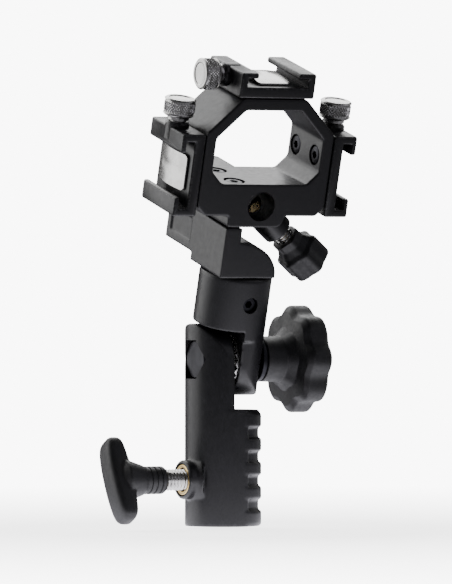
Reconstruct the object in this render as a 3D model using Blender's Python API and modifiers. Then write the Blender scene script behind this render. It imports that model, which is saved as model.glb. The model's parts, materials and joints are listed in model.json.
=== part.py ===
"""Tilting umbrella bracket with a three-shoe head, for the top of a light stand.

Sizes are in millimetres and turned into metres by MM. The origin is the centre
of the stand socket's mouth, +Z runs up the socket and +X runs along the tilt
bolt towards its knob. The umbrella shaft runs along Y. Everything on the head
is placed from the tilt axis, under the empty head_pivot, which carries the tilt.
"""
import math

import bmesh
import bpy
from mathutils import Matrix, Vector

MM = 0.001
CLEARANCE = 0.3                    # gap left between pieces that touch
ROUND_SIDES = 32                   # sides of the largest round shapes
SCREW_SIDES = 16                   # sides of shanks and small holes

# Stand socket, on the lower body
STUD_BORE_RADIUS = 8.1             # takes a 5/8 inch (15.9 mm) stand stud
SOCKET_DEPTH = 26.0
SOCKET_RADIUS = 10.6
RIB_COUNT = 5
RIB_PITCH = 6.7
RIB_FIRST_HEIGHT = 2.6
RIB_THICKNESS = 3.2
RIB_RADIUS = 10.7
RIB_CORE_RADIUS = 9.9
SOCKET_TOP = 32.4

# Tilt joint
TILT_HEIGHT = 46.4
TILT_ANGLE = math.radians(16.5)
EAR_RADIUS = 10.0
LOWER_EAR_X = (-10.7, -1.5)
UPPER_EAR_X = (0.3, 9.3)
TOOTH_COUNT = 24
TOOTH_HEIGHT = 0.75
TOOTH_RING_RADII = (5.4, 8.8)
TOOTH_RING_DEPTH = 1.7
BOLT_RADIUS = 3.0
BOLT_HOLE_RADIUS = 3.3
SPRING_POCKET_RADIUS = 5.2
SPRING_POCKET_DEPTH = 3.1
SPRING_COIL_RADIUS = 4.2
SPRING_WIRE_RADIUS = 0.45
SPRING_TURNS = 4
KNOB_RADIUS = 15.0
KNOB_LOBES = 8
KNOB_LOBE_DEPTH = 1.6
KNOB_X = (19.3, 28.0)
KNOB_HUB_RADIUS = 6.5

# Stand lock screw, on the -X side of the socket
STAND_LOCK_HEIGHT = 13.0
STAND_BOSS_X = -13.0
STAND_SCREW_RADIUS = 3.0
STAND_STEM_X = (-29.6, -18.6)
STAND_BAR_X = (-36.0, -29.0)
STAND_BAR_LENGTH = 25.4
STAND_BAR_TURN = math.radians(-27.0)

# Head, measured from the tilt axis
HEAD_RADIUS = 10.2
HEAD_CENTRE_X = 0.3
HEAD_TOP = 26.0
UPPER_EAR_ROOT = (9.0, 14.0)         # half width and height where the upper ear meets the head
NECK_X = (-9.8, -4.8)
NECK_FOOT_RIGHT = 7.4
NECK_HUMP_HEIGHT = 9.5
NECK_TOP = 40.6
NECK_FRONT = -9.75
NECK_REAR = 25.5
BORE_HEIGHT = 46.9
BORE_RADIUS = 4.15                 # takes an 8 mm umbrella shaft
UMBRELLA_LOCK_ANGLE = math.radians(39.0)
UMBRELLA_SCREW_RADIUS = 2.5

# Octagonal frame that carries the shoes
FRAME_DEPTH = 19.5
FRAME_INNER_HALF = 16.6
FRAME_WALL = 3.2
FRAME_FLOOR = 53.2
FRAME_CEILING = 74.2
FRAME_BOTTOM = 44.2
FRAME_TOP_CHAMFER = 8.0
FRAME_FLOOR_CHAMFER = 3.5
HUB_HALF = 8.0
HUB_BOTTOM = 40.9
SIDE_SHOE_HEIGHT = 55.6

# Cold shoe: a plate with two lips over an 18.75 mm channel
SHOE_LENGTH = 20.0
SHOE_HALF = 11.6
SHOE_BASE = 3.4
CHANNEL_HALF = 9.4
CHANNEL_HEIGHT = 2.3
LIP_OPENING_HALF = 6.3
SHOE_HEIGHT = 7.4
THUMBSCREW_RADIUS = 2.0
THUMBSCREW_LEVEL = SHOE_BASE + CHANNEL_HEIGHT / 2
SHOE_SCREW_OFFSET = 5.6
SHOE_SCREW_HEAD_Z = (-3.1, -1.5)     # sunk in the frame's wall, just under its inner face

TENON_CENTRE = (-0.5, 1.5, 0.0)
SET_SCREW_CENTRE = (0.8, 0.0, 18.5)
NECK_SCREW_X = -7.3
NECK_SCREW_Y = (-5.5, 5.5)
LOCK_TURN = (0.0, math.pi / 2 + UMBRELLA_LOCK_ANGLE, 0.0)

# Name, seat on the frame, turn of the seat, and the fixing screws' shift towards the thumbscrew
FRAME_SIDE = FRAME_INNER_HALF + FRAME_WALL
SHOES = (
    ("top_shoe", (0.0, 0.0, FRAME_CEILING + FRAME_WALL), (0.0, 0.0, math.pi), 0.0),
    ("left_shoe", (-FRAME_SIDE, 0.0, SIDE_SHOE_HEIGHT), (0.0, -math.pi / 2, 0.0), 5.2),
    ("right_shoe", (FRAME_SIDE, 0.0, SIDE_SHOE_HEIGHT), (0.0, -math.pi / 2, math.pi), 5.2),
)

COLOURS = {
    "black_paint": ((0.018, 0.018, 0.022, 1.0), 0.45, 0.0),
    "black_plastic": ((0.014, 0.014, 0.017, 1.0), 0.55, 0.0),
    "steel": ((0.62, 0.62, 0.60, 1.0), 0.28, 1.0),
    "black_steel": ((0.05, 0.05, 0.055, 1.0), 0.35, 1.0),
    "brass": ((0.72, 0.55, 0.25, 1.0), 0.32, 1.0),
    "nylon": ((0.80, 0.78, 0.72, 1.0), 0.55, 0.0),
}


# ---------------------------------------------------------------- scene set-up

def clear_scene():
    for obj in list(bpy.data.objects):
        bpy.data.objects.remove(obj, do_unlink=True)
    for mesh in list(bpy.data.meshes):
        bpy.data.meshes.remove(mesh)


def new_collection(name):
    collection = bpy.data.collections.new(name)
    bpy.context.scene.collection.children.link(collection)
    return collection


clear_scene()
PARTS = new_collection("umbrella_swivel_bracket")
TOOLS = new_collection("cutters")


def material(name):
    found = bpy.data.materials.get(name)
    if found:
        return found
    made = bpy.data.materials.new(name)
    made.use_nodes = True
    shader = made.node_tree.nodes["Principled BSDF"]
    colour, roughness, metallic = COLOURS[name]
    shader.inputs["Base Color"].default_value = colour
    shader.inputs["Roughness"].default_value = roughness
    shader.inputs["Metallic"].default_value = metallic
    made.diffuse_color = colour
    return made


def empty(name, location, rotation=(0.0, 0.0, 0.0), parent=None):
    made = bpy.data.objects.new(name, None)
    made.location = Vector(location) * MM
    made.rotation_euler = rotation
    made.parent = parent
    PARTS.objects.link(made)
    return made


# ------------------------------------------------------------------- shapes
# Each shape is made as a tool, hidden and unrendered. finish() turns the one
# that has gathered the others into a part.

def link_tool(name, mesh):
    obj = bpy.data.objects.new(name, mesh)
    TOOLS.objects.link(obj)
    obj.hide_render = True
    obj.display_type = "WIRE"
    return obj


def axis_turn(axis):
    """Rotation that lays a shape made along Z along the named axis."""
    turns = {"X": (0.0, math.pi / 2, 0.0), "Y": (-math.pi / 2, 0.0, 0.0), "Z": (0.0, 0.0, 0.0)}
    return turns[axis]


def place_along(obj, centre, axis):
    obj.location = Vector(centre) * MM
    obj.rotation_euler = axis_turn(axis) if isinstance(axis, str) else axis
    return obj


def bevel(obj, width, segments=1, angle=40.0):
    if width <= 0:
        return obj
    modifier = obj.modifiers.new("edge", "BEVEL")
    modifier.width = width * MM
    modifier.segments = segments
    modifier.limit_method = "ANGLE"
    modifier.angle_limit = math.radians(angle)
    return obj


def box(name, low, high, edge=0.0):
    """A block between two corners, with its edges broken by edge."""
    mesh = bpy.data.meshes.new(name)
    shape = bmesh.new()
    bmesh.ops.create_cube(shape, size=1.0)
    size = Vector(high) - Vector(low)
    middle = (Vector(high) + Vector(low)) / 2
    bmesh.ops.scale(shape, vec=size * MM, verts=shape.verts)
    bmesh.ops.translate(shape, vec=middle * MM, verts=shape.verts)
    shape.to_mesh(mesh)
    shape.free()
    return bevel(link_tool(name, mesh), edge)


def rod(name, radius, start, end, axis="Z", centre=(0.0, 0.0, 0.0), sides=32, edge=0.0):
    """A round bar from start to end along an axis through centre."""
    mesh = bpy.data.meshes.new(name)
    shape = bmesh.new()
    bmesh.ops.create_cone(shape, cap_ends=True, cap_tris=False, segments=sides,
                          radius1=radius * MM, radius2=radius * MM, depth=(end - start) * MM)
    bmesh.ops.translate(shape, vec=(0.0, 0.0, (start + end) / 2 * MM), verts=shape.verts)
    shape.to_mesh(mesh)
    shape.free()
    obj = place_along(link_tool(name, mesh), centre, axis)
    return bevel(obj, edge)


def turned(name, profile, axis="Z", centre=(0.0, 0.0, 0.0), sides=32):
    """A shape turned from (radius, height) points that run down its outer side."""
    mesh = bpy.data.meshes.new(name)
    shape = bmesh.new()
    points = [shape.verts.new((radius * MM, 0.0, height * MM)) for radius, height in profile]
    for first, second in zip(points, points[1:]):
        shape.edges.new((first, second))
    if profile[0][0] > 0.0:
        shape.edges.new((points[-1], points[0]))
    shape.to_mesh(mesh)
    shape.free()
    obj = place_along(link_tool(name, mesh), centre, axis)
    screw = obj.modifiers.new("turn", "SCREW")
    screw.steps = sides
    screw.render_steps = sides
    screw.use_merge_vertices = True
    screw.merge_threshold = 0.00001
    screw.use_normal_calculate = False
    return obj


def curve_to_mesh_tool(name, curve):
    """Bake a filled curve into a welded mesh, so that it can be cut and joined."""
    holder = bpy.data.objects.new(name + "_curve", curve)
    TOOLS.objects.link(holder)
    depsgraph = bpy.context.evaluated_depsgraph_get()
    mesh = bpy.data.meshes.new_from_object(holder.evaluated_get(depsgraph))
    shape = bmesh.new()
    shape.from_mesh(mesh)
    bmesh.ops.remove_doubles(shape, verts=shape.verts, dist=0.000001)
    bmesh.ops.recalc_face_normals(shape, faces=shape.faces)
    shape.to_mesh(mesh)
    shape.free()
    matrix = holder.matrix_world.copy()
    bpy.data.objects.remove(holder, do_unlink=True)
    bpy.data.curves.remove(curve)
    obj = link_tool(name, mesh)
    obj.matrix_world = matrix
    return obj


def plate(name, outlines, start, end, axis="Y", centre=(0.0, 0.0, 0.0), edge=0.0):
    """A flat outline, with holes if more outlines follow, thickened from start to end.

    Along Y the outline's points are (x, z). Along X they are (y, z). Along Z they are (x, y).
    """
    curve = bpy.data.curves.new(name, "CURVE")
    curve.dimensions = "2D"
    curve.fill_mode = "BOTH"
    curve.extrude = (end - start) / 2 * MM
    for outline in outlines:
        spline = curve.splines.new("POLY")
        spline.points.add(len(outline) - 1)
        for point, (across, up) in zip(spline.points, outline):
            point.co = (across * MM, up * MM, 0.0, 1.0)
        spline.use_cyclic_u = True
    obj = curve_to_mesh_tool(name, curve)
    middle = (start + end) / 2
    stands = {
        "X": ((math.pi / 2, 0.0, math.pi / 2), (middle, 0.0, 0.0)),
        "Y": ((math.pi / 2, 0.0, 0.0), (0.0, middle, 0.0)),
        "Z": ((0.0, 0.0, 0.0), (0.0, 0.0, middle)),
    }
    turn, shift = stands[axis]
    obj.rotation_euler = turn
    obj.location = (Vector(centre) + Vector(shift)) * MM
    return bevel(obj, edge)


def rounded(corners, steps=4):
    """Outline points from (x, y, radius) corners, each rounded by its radius."""
    points = []
    count = len(corners)
    for index, (x, y, radius) in enumerate(corners):
        corner = Vector((x, y))
        if radius <= 0:
            points.append((x, y))
            continue
        before = Vector(corners[index - 1][:2]) - corner
        after = Vector(corners[(index + 1) % count][:2]) - corner
        half = before.angle(after) / 2
        reach = radius / math.tan(half)
        centre = corner + (before.normalized() + after.normalized()).normalized() * radius / math.sin(half)
        first = corner + before.normalized() * reach - centre
        last = corner + after.normalized() * reach - centre
        sweep = first.angle_signed(last)
        start = math.atan2(first.y, first.x)
        for step in range(steps + 1):
            angle = start - sweep * step / steps
            points.append((centre.x + radius * math.cos(angle), centre.y + radius * math.sin(angle)))
    return points


def arc(centre, radii, start, end, steps):
    """Points on an ellipse from one angle to another, in degrees."""
    points = []
    for step in range(steps + 1):
        angle = math.radians(start + (end - start) * step / steps)
        points.append((centre[0] + radii[0] * math.cos(angle), centre[1] + radii[1] * math.sin(angle)))
    return points


def combine(obj, others, operation):
    for other in others:
        modifier = obj.modifiers.new(operation.lower(), "BOOLEAN")
        modifier.operation = operation
        modifier.solver = "EXACT"
        modifier.object = other
    return obj


def join(obj, *others):
    return combine(obj, others, "UNION")


def cut(obj, *others):
    return combine(obj, others, "DIFFERENCE")


def finish(obj, name, finish_name, parent=None):
    """Make a gathered shape the part called name, riding on parent."""
    obj.name = name
    obj.data.name = name
    TOOLS.objects.unlink(obj)
    PARTS.objects.link(obj)
    obj.hide_render = False
    obj.display_type = "TEXTURED"
    obj.data.materials.clear()
    obj.data.materials.append(material(finish_name))
    if parent:
        obj.parent = parent
    for tool in TOOLS.objects:
        if tool.parent is None and tool.get("used") is None:
            tool["used"] = True
            tool.parent = parent
    obj.data.shade_smooth()
    obj.data.set_sharp_from_angle(angle=math.radians(35.0))
    return obj


# ---------------------------------------------------------------- lower body

def rosette_teeth(name, root_x, direction):
    """Radial ridges on a ring face, standing from root_x along X by direction."""
    inner, outer = TOOTH_RING_RADII
    mesh = bpy.data.meshes.new(name)
    shape = bmesh.new()
    steps = TOOTH_COUNT * 2
    back = root_x - direction * TOOTH_RING_DEPTH
    rings = {"face_in": [], "face_out": [], "back_in": [], "back_out": []}
    for step in range(steps):
        angle = 2 * math.pi * step / steps
        rise = TOOTH_HEIGHT if step % 2 else 0.05
        across, up = math.cos(angle), math.sin(angle)
        for key, radius, x in (("face_in", inner, root_x + direction * rise * 0.7),
                               ("face_out", outer, root_x + direction * rise),
                               ("back_in", inner, back), ("back_out", outer, back)):
            rings[key].append(shape.verts.new((x * MM, radius * across * MM, radius * up * MM)))
    for first, second in (("face_in", "face_out"), ("face_out", "back_out"),
                          ("back_out", "back_in"), ("back_in", "face_in")):
        for step in range(steps):
            after = (step + 1) % steps
            shape.faces.new((rings[first][step], rings[second][step],
                             rings[second][after], rings[first][after]))
    bmesh.ops.recalc_face_normals(shape, faces=shape.faces)
    shape.to_mesh(mesh)
    shape.free()
    return link_tool(name, mesh)


def ear_outline(foot, radius):
    """A plate that stands up from foot and ends in a half round on the tilt axis."""
    return [(-radius, foot), (radius, foot)] + arc((0.0, TILT_HEIGHT), (radius, radius), 0, 180, 16)


def lower_body():
    body = rod("socket", RIB_CORE_RADIUS, 0.0, SOCKET_TOP, sides=ROUND_SIDES)
    smooth_side = cut(rod("smooth_side", SOCKET_RADIUS, 0.0, SOCKET_TOP, sides=ROUND_SIDES, edge=0.5),
                      box("smooth_side_trim", (3.0, -20.0, -1.0), (20.0, 20.0, 40.0)))
    join(body, smooth_side)
    for rib in range(RIB_COUNT):
        middle = RIB_FIRST_HEIGHT + rib * RIB_PITCH
        low = max(middle - RIB_THICKNESS / 2, 0.0)
        ring = rod("rib", RIB_RADIUS, low, middle + RIB_THICKNESS / 2, sides=ROUND_SIDES)
        cut(ring, box("rib_trim", (-20.0, -20.0, -5.0), (2.0, 20.0, 40.0)))
        join(body, ring)
    ear = plate("lower_ear", [ear_outline(27.0, EAR_RADIUS)], *LOWER_EAR_X, axis="X")
    combine(ear, [rod("ear_round", SOCKET_RADIUS, 20.0, 60.0, sides=ROUND_SIDES)], "INTERSECT")
    boss = rod("stand_boss", 5.5, STAND_BOSS_X, -9.0, "X", (0.0, 0.0, STAND_LOCK_HEIGHT), sides=24)
    join(body, ear, boss)
    on_axis = (0.0, 0.0, TILT_HEIGHT)
    cut(body,
        rod("stud_bore", STUD_BORE_RADIUS, -1.0, SOCKET_DEPTH, sides=ROUND_SIDES),
        rod("pad_hole", 3.3, -11.0, -7.0, "X", (0.0, 0.0, STAND_LOCK_HEIGHT), sides=24),
        rod("insert_hole", 4.6, -14.0, -10.2, "X", (0.0, 0.0, STAND_LOCK_HEIGHT), sides=24),
        rod("bolt_hole", BOLT_HOLE_RADIUS, -12.0, 2.0, "X", on_axis, sides=24),
        rod("bolt_head_pocket", 6.2, -12.0, -6.0, "X", on_axis, sides=6),
        rod("tooth_pocket", TOOTH_RING_RADII[1] + CLEARANCE,
            LOWER_EAR_X[1] - TOOTH_RING_DEPTH - CLEARANCE, 2.0, "X", on_axis),
        rod("spring_pocket", SPRING_POCKET_RADIUS, LOWER_EAR_X[1] - SPRING_POCKET_DEPTH, 2.0,
            "X", on_axis, sides=24))
    return finish(body, "lower_body", "black_paint")


def stand_lock(parent):
    centre = (0.0, 0.0, STAND_LOCK_HEIGHT)
    bush = turned("insert", [(4.3, -10.5), (4.3, -12.9), (3.3, -12.9), (3.3, -10.5)],
                  "X", centre, 24)
    finish(bush, "stand_lock_insert", "brass")
    pad = rod("pad", 2.6, -9.7, -8.2, "X", centre, sides=SCREW_SIDES)
    finish(pad, "stand_pad", "brass")
    screw = rod("screw", STAND_SCREW_RADIUS, -27.5, -10.0, "X", centre, sides=24)
    finish(screw, "stand_lock_screw", "steel")

    stem = rod("stem", 3.9, *STAND_STEM_X, "X", sides=24)
    flare = turned("flare", [(0.0, -25.4), (4.3, -25.4), (5.6, -29.6), (0.0, -29.6)], "X")
    half = STAND_BAR_LENGTH / 2
    low, high = STAND_BAR_X
    bar_corners = [(low + 1.2, -half, 2.4), (high - 1.6, -half, 2.0), (high, -5.5, 2.0),
                   (high, 5.5, 2.0), (high - 1.6, half, 2.0), (low + 1.2, half, 2.4),
                   (low, 6.0, 6.0), (low, -6.0, 6.0)]
    bar = plate("bar", [rounded(bar_corners, 3)], -4.0, 4.0, "Y", edge=1.2)
    handle = join(bar, stem, flare)
    cut(handle, rod("screw_hole", STAND_SCREW_RADIUS + CLEARANCE, -27.8, -15.0, "X", sides=24))
    turn = empty("stand_handle_turn", centre, (STAND_BAR_TURN, 0.0, 0.0), parent)
    finish(handle, "stand_lock_handle", "black_plastic", turn)


def tilt_bolt_and_spring():
    centre = (0.0, 0.0, TILT_HEIGHT)
    shank = rod("shank", BOLT_RADIUS, -8.0, 24.0, "X", centre, sides=24)
    head = rod("head", 5.8, -8.7, -6.3, "X", centre, sides=6, edge=0.4)
    finish(join(shank, head), "tilt_bolt", "black_steel")

    turns = SPRING_TURNS
    low = LOWER_EAR_X[1] - SPRING_POCKET_DEPTH + CLEARANCE + SPRING_WIRE_RADIUS
    high = UPPER_EAR_X[0] + SPRING_POCKET_DEPTH - CLEARANCE - SPRING_WIRE_RADIUS
    curve = bpy.data.curves.new("spring", "CURVE")
    curve.dimensions = "3D"
    curve.bevel_depth = SPRING_WIRE_RADIUS * MM
    curve.bevel_resolution = 1
    curve.use_fill_caps = True
    spline = curve.splines.new("POLY")
    per_turn = 12
    spline.points.add(turns * per_turn)
    for index, point in enumerate(spline.points):
        angle = 2 * math.pi * index / per_turn
        along = low + (high - low) * index / (turns * per_turn)
        point.co = (along * MM, SPRING_COIL_RADIUS * math.cos(angle) * MM,
                    SPRING_COIL_RADIUS * math.sin(angle) * MM, 1.0)
    spring = curve_to_mesh_tool("spring", curve)
    spring.location = Vector(centre) * MM
    finish(spring, "release_spring", "steel")

    ring = rosette_teeth("lower_teeth", LOWER_EAR_X[1], 1)
    ring.location = Vector(centre) * MM
    finish(ring, "lower_tooth_ring", "steel")


def tilt_knob(parent):
    centre = (0.0, 0.0, TILT_HEIGHT)
    face = UPPER_EAR_X[1] + CLEARANCE
    washer = turned("washer", [(6.4, face + 1.4), (6.4, face), (3.3, face), (3.3, face + 1.4)],
                    "X", centre, 24)
    finish(washer, "tilt_washer", "black_steel")

    outline = []
    steps = KNOB_LOBES * 6
    for step in range(steps):
        angle = 2 * math.pi * step / steps
        radius = KNOB_RADIUS - KNOB_LOBE_DEPTH * (1 - math.cos(KNOB_LOBES * angle)) / 2
        outline.append((radius * math.cos(angle), radius * math.sin(angle)))
    knob_low, knob_high = KNOB_X
    wheel = plate("wheel", [outline], knob_low, knob_high, "X", edge=1.2)
    hub_start = face + 1.4 + CLEARANCE
    hub = turned("hub", [(0.0, knob_low + 1.0), (KNOB_HUB_RADIUS + 1.2, knob_low + 1.0),
                         (KNOB_HUB_RADIUS, knob_low - 1.4), (KNOB_HUB_RADIUS, hub_start),
                         (0.0, hub_start)], "X")
    knob = join(wheel, hub)
    cut(knob,
        rod("bolt_clearance", BOLT_HOLE_RADIUS, 5.0, 26.0, "X", sides=24),
        rod("nut_pocket", 6.1, 18.0, 24.6, "X", sides=6),
        rod("cap_pocket", 9.3, 26.0, 30.0, "X"))
    cut(knob, rod("nut_way", 6.1, 24.0, 27.0, "X", sides=6))
    turn = empty("tilt_knob_turn", centre, parent=parent)
    finish(knob, "tilt_knob", "black_plastic", turn)
    nut = cut(rod("nut", 5.75, 18.4, 24.3, "X", sides=6, edge=0.4),
              rod("nut_bore", BOLT_HOLE_RADIUS, 15.0, 30.0, "X", sides=24))
    finish(nut, "tilt_knob_nut", "brass", turn)
    cap = rod("cap", 9.0, 26.3, 28.0, "X", edge=0.5)
    finish(cap, "tilt_knob_cap", "black_plastic", turn)


# ----------------------------------------------------------------------- head

def tilt_head(pivot):
    clear = EAR_RADIUS + 0.7
    block = rod("block", HEAD_RADIUS, clear, HEAD_TOP, centre=(HEAD_CENTRE_X, 0.0, 0.0),
                sides=ROUND_SIDES, edge=0.8)
    side, root = UPPER_EAR_ROOT
    ear_shape = arc((0.0, 0.0), (EAR_RADIUS, EAR_RADIUS), 180, 360, 16) + [(side, root), (-side, root)]
    ear = plate("upper_ear", [ear_shape], *UPPER_EAR_X, axis="X")
    combine(ear, [rod("ear_round", HEAD_RADIUS, -20.0, 20.0, centre=(HEAD_CENTRE_X, 0.0, 0.0),
                      sides=ROUND_SIDES)], "INTERSECT")
    join(block, ear)
    cut(block,
        rod("bolt_hole", BOLT_HOLE_RADIUS, -3.0, 12.0, "X", sides=24),
        rod("tooth_pocket", TOOTH_RING_RADII[1] + CLEARANCE, -3.0,
            UPPER_EAR_X[0] + TOOTH_RING_DEPTH + CLEARANCE, "X"),
        rod("spring_pocket", SPRING_POCKET_RADIUS, -3.0, UPPER_EAR_X[0] + SPRING_POCKET_DEPTH,
            "X", sides=24),
        rod("tenon_hole", 5.0, 15.0, 30.0, "Z", TENON_CENTRE, sides=24),
        rod("set_screw_hole", 2.3, -12.0, -1.0, "Y", SET_SCREW_CENTRE, sides=SCREW_SIDES))
    finish(block, "tilt_head", "black_paint", pivot)

    ring = rosette_teeth("upper_teeth", UPPER_EAR_X[0], -1)
    finish(ring, "upper_tooth_ring", "steel", pivot)

    screw = cut(rod("set_screw", 2.0, -8.7, -4.0, "Y", SET_SCREW_CENTRE, sides=SCREW_SIDES),
                rod("key_socket", 1.1, -9.5, -6.8, "Y", SET_SCREW_CENTRE, sides=6))
    finish(screw, "neck_set_screw", "black_steel", pivot)


def neck(pivot):
    left, right = NECK_X
    foot = HEAD_TOP + CLEARANCE
    hump = arc((right, foot + 0.6), (NECK_FOOT_RIGHT - right, NECK_HUMP_HEIGHT), 90, 0, 8)
    outline = [(left, foot), (left, NECK_TOP), (right, NECK_TOP)] + hump + [(NECK_FOOT_RIGHT, foot)]
    front = plate("neck_front", [outline], NECK_FRONT, 8.0, "Y", edge=0.5)
    web = box("neck_web", (left, 7.0, 28.6), (right, NECK_REAR, NECK_TOP), edge=0.6)
    tenon = rod("tenon", 4.7, 15.6, foot + 2.0, "Z", TENON_CENTRE, sides=24)
    join(front, web, tenon)
    for along in NECK_SCREW_Y:
        cut(front, rod("screw_hole", 1.8, 31.0, 45.0, "Z", (NECK_SCREW_X, along, 0.0), sides=SCREW_SIDES))
    finish(front, "neck", "black_paint", pivot)


def chamfered(half, low, high, low_chamfer, high_chamfer):
    """A rectangle about the middle plane with its corners cut at 45 degrees."""
    right = [(half - low_chamfer, low), (half, low + low_chamfer),
             (half, high - high_chamfer), (half - high_chamfer, high)]
    return right + [(-x, z) for x, z in reversed(right)]


def shoe_frame(pivot):
    outer_chamfer = FRAME_TOP_CHAMFER + FRAME_WALL * (2 - math.sqrt(2))
    outer_half = FRAME_INNER_HALF + FRAME_WALL
    outer = chamfered(outer_half, FRAME_BOTTOM, FRAME_CEILING + FRAME_WALL, 2.5, outer_chamfer)
    inner = chamfered(FRAME_INNER_HALF, FRAME_FLOOR, FRAME_CEILING,
                      FRAME_FLOOR_CHAMFER, FRAME_TOP_CHAMFER)
    half_depth = FRAME_DEPTH / 2
    frame = plate("frame", [outer, inner], -half_depth, half_depth, "Y", edge=0.5)
    left = NECK_X[0]
    hub_corners = [(left, HUB_BOTTOM, 1.0), (HUB_HALF - 1.0, HUB_BOTTOM, 2.5),
                   (HUB_HALF, FRAME_BOTTOM + 1.0, 1.0), (HUB_HALF, 51.5, 2.0), (left, 51.5, 2.0)]
    hub = plate("hub", [rounded(hub_corners, 2)], -half_depth, half_depth, "Y")
    sleeve_corners = [(left, HUB_BOTTOM, 1.0), (HUB_HALF - 2.5, HUB_BOTTOM, 3.0),
                      (HUB_HALF - 2.5, 52.0, 3.0), (left, 52.0, 3.0)]
    sleeve = plate("sleeve", [rounded(sleeve_corners, 3)], 5.0, NECK_REAR, "Y", edge=0.5)
    bore_centre = (0.0, 0.0, BORE_HEIGHT)
    boss = rod("lock_boss", 4.4, 2.0, 15.0, LOCK_TURN, bore_centre, sides=24)
    join(frame, hub, sleeve, boss)
    cut(frame,
        rod("umbrella_bore", BORE_RADIUS, -20.0, 40.0, "Y", bore_centre),
        rod("lock_pad_hole", 2.8, 0.0, 12.0, LOCK_TURN, bore_centre, sides=24),
        rod("lock_insert_hole", 3.6, 9.2, 20.0, LOCK_TURN, bore_centre, sides=24))
    for along in NECK_SCREW_Y:
        centre = (NECK_SCREW_X, along, 0.0)
        cut(frame,
            rod("neck_screw_hole", 1.8, 35.0, 60.0, "Z", centre, sides=SCREW_SIDES),
            rod("neck_screw_seat", 3.05, 50.4, 60.0, "Z", centre, sides=24))
    for _, place, turn, shift in SHOES:
        for along in (-SHOE_SCREW_OFFSET, SHOE_SCREW_OFFSET):
            hole = rod("shoe_screw_hole", 1.8, -6.0, 3.0, "Z", sides=SCREW_SIDES)
            seat = rod("shoe_screw_seat", 2.9, -6.0, SHOE_SCREW_HEAD_Z[1] + CLEARANCE, "Z", sides=24)
            aim = empty("shoe_hole_aim", place, turn)
            for cutter in (hole, seat):
                cutter.matrix_world = aim.matrix_basis @ Matrix.Translation(Vector((shift, along, 0)) * MM)
            bpy.data.objects.remove(aim, do_unlink=True)
            cut(frame, hole, seat)
    finish(frame, "shoe_frame", "black_paint", pivot)
    for tag, along in zip(("front", "rear"), NECK_SCREW_Y):
        centre = (NECK_SCREW_X, along, 0.0)
        screw = join(rod("shank", 1.5, 32.0, 51.5, "Z", centre, sides=SCREW_SIDES),
                     rod("head", 2.75, 50.7, 53.0, "Z", centre, sides=SCREW_SIDES))
        cut(screw, rod("key_socket", 1.3, 51.7, 55.0, "Z", centre, sides=6))
        finish(screw, "neck_screw_" + tag, "black_steel", pivot)


def umbrella_lock(pivot):
    aim = empty("umbrella_lock_aim", (0.0, 0.0, BORE_HEIGHT), LOCK_TURN, pivot)
    bush = turned("insert", [(3.3, 14.8), (3.3, 9.5), (2.8, 9.5), (2.8, 14.8)], sides=24)
    finish(bush, "umbrella_lock_insert", "brass", aim)
    finish(rod("pad", 2.3, 4.3, 5.8, sides=SCREW_SIDES), "umbrella_pad", "brass", aim)
    screw = rod("screw", UMBRELLA_SCREW_RADIUS, 6.1, 28.0, sides=24)
    finish(screw, "umbrella_lock_screw", "steel", aim)
    outline = []
    lobes = 6
    steps = lobes * 5
    for step in range(steps):
        angle = 2 * math.pi * step / steps
        radius = 6.2 + 0.4 * math.cos(lobes * angle)
        outline.append((radius * math.cos(angle), radius * math.sin(angle)))
    grip = plate("grip", [outline], 22.0, 31.0, "Z", edge=0.8)
    collar = turned("collar", [(0.0, 23.0), (5.2, 23.0), (4.2, 20.6), (4.2, 18.0), (0.0, 18.0)],
                    sides=24)
    knob = cut(join(grip, collar), rod("screw_hole", UMBRELLA_SCREW_RADIUS + CLEARANCE, 10.0, 28.3,
                                       sides=24))
    finish(knob, "umbrella_lock_knob", "black_plastic", aim)


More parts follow.
